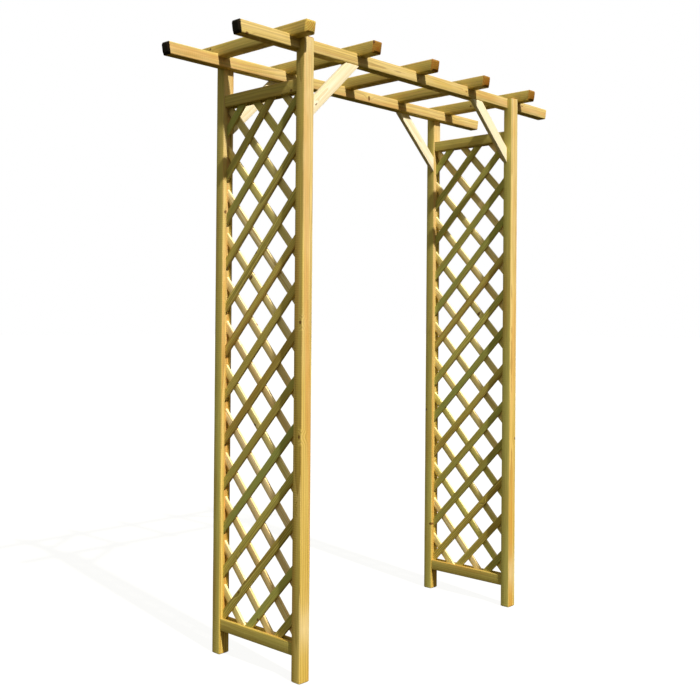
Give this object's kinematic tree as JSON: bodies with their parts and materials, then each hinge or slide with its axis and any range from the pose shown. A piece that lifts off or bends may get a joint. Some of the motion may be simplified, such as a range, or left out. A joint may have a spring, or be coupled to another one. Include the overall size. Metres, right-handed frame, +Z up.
{
  "type": "garden trellis arch",
  "caption": "Flat-topped timber garden arch: square posts, twin beams, cross rafters, knee braces and diamond lattice sides for climbing plants.",
  "frame": {"origin": "on the ground, midway between the feet of the four posts", "axes": "+X across the walkway from the left lattice panel to the right one, +Y from the front beam to the rear beam, +Z up"},
  "size_m": [1.6778, 0.6158, 2.2],
  "materials": {
    "planed_timber": "planed pressure-treated softwood, green-brown with honey faces",
    "planed_braces": "planed pale softwood",
    "sawn_laths": "thin pressure-treated softwood laths",
    "beech_dowels": "plain glued dowels",
    "zinc_screws": "zinc-plated countersunk wood screws",
    "zinc_nails": "galvanised flat-headed nails"
  },
  "bodies": {
    "root": {"brace_foot_screws": "zinc_screws", "brace_head_screws": "zinc_screws", "front_beam": "planed_timber", "left_bottom_rail": "planed_timber", "left_falling_laths_1": "sawn_laths", "left_falling_laths_2": "sawn_laths", "left_falling_laths_3": "sawn_laths", "left_falling_laths_4": "sawn_laths", "left_falling_laths_5": "sawn_laths", "left_falling_laths_6": "sawn_laths", "left_falling_laths_7": "sawn_laths", "left_front_brace": "planed_braces", "left_front_post": "planed_timber", "left_lattice_nails": "zinc_nails", "left_rear_brace": "planed_braces", "left_rear_post": "planed_timber", "left_rising_laths_1": "sawn_laths", "left_rising_laths_2": "sawn_laths", "left_rising_laths_3": "sawn_laths", "left_rising_laths_4": "sawn_laths", "left_rising_laths_5": "sawn_laths", "left_rising_laths_6": "sawn_laths", "left_rising_laths_7": "sawn_laths", "left_top_rail": "planed_timber", "post_screws": "zinc_screws", "rafter_1": "planed_timber", "rafter_2": "planed_timber", "rafter_3": "planed_timber", "rafter_4": "planed_timber", "rafter_5": "planed_timber", "rafter_screws": "zinc_screws", "rail_dowels": "beech_dowels", "rear_beam": "planed_timber", "right_bottom_rail": "planed_timber", "right_falling_laths_1": "sawn_laths", "right_falling_laths_2": "sawn_laths", "right_falling_laths_3": "sawn_laths", "right_falling_laths_4": "sawn_laths", "right_falling_laths_5": "sawn_laths", "right_falling_laths_6": "sawn_laths", "right_falling_laths_7": "sawn_laths", "right_front_brace": "planed_braces", "right_front_post": "planed_timber", "right_lattice_nails": "zinc_nails", "right_rear_brace": "planed_braces", "right_rear_post": "planed_timber", "right_rising_laths_1": "sawn_laths", "right_rising_laths_2": "sawn_laths", "right_rising_laths_3": "sawn_laths", "right_rising_laths_4": "sawn_laths", "right_rising_laths_5": "sawn_laths", "right_rising_laths_6": "sawn_laths", "right_rising_laths_7": "sawn_laths", "right_top_rail": "planed_timber"}
  },
  "joints": []
}
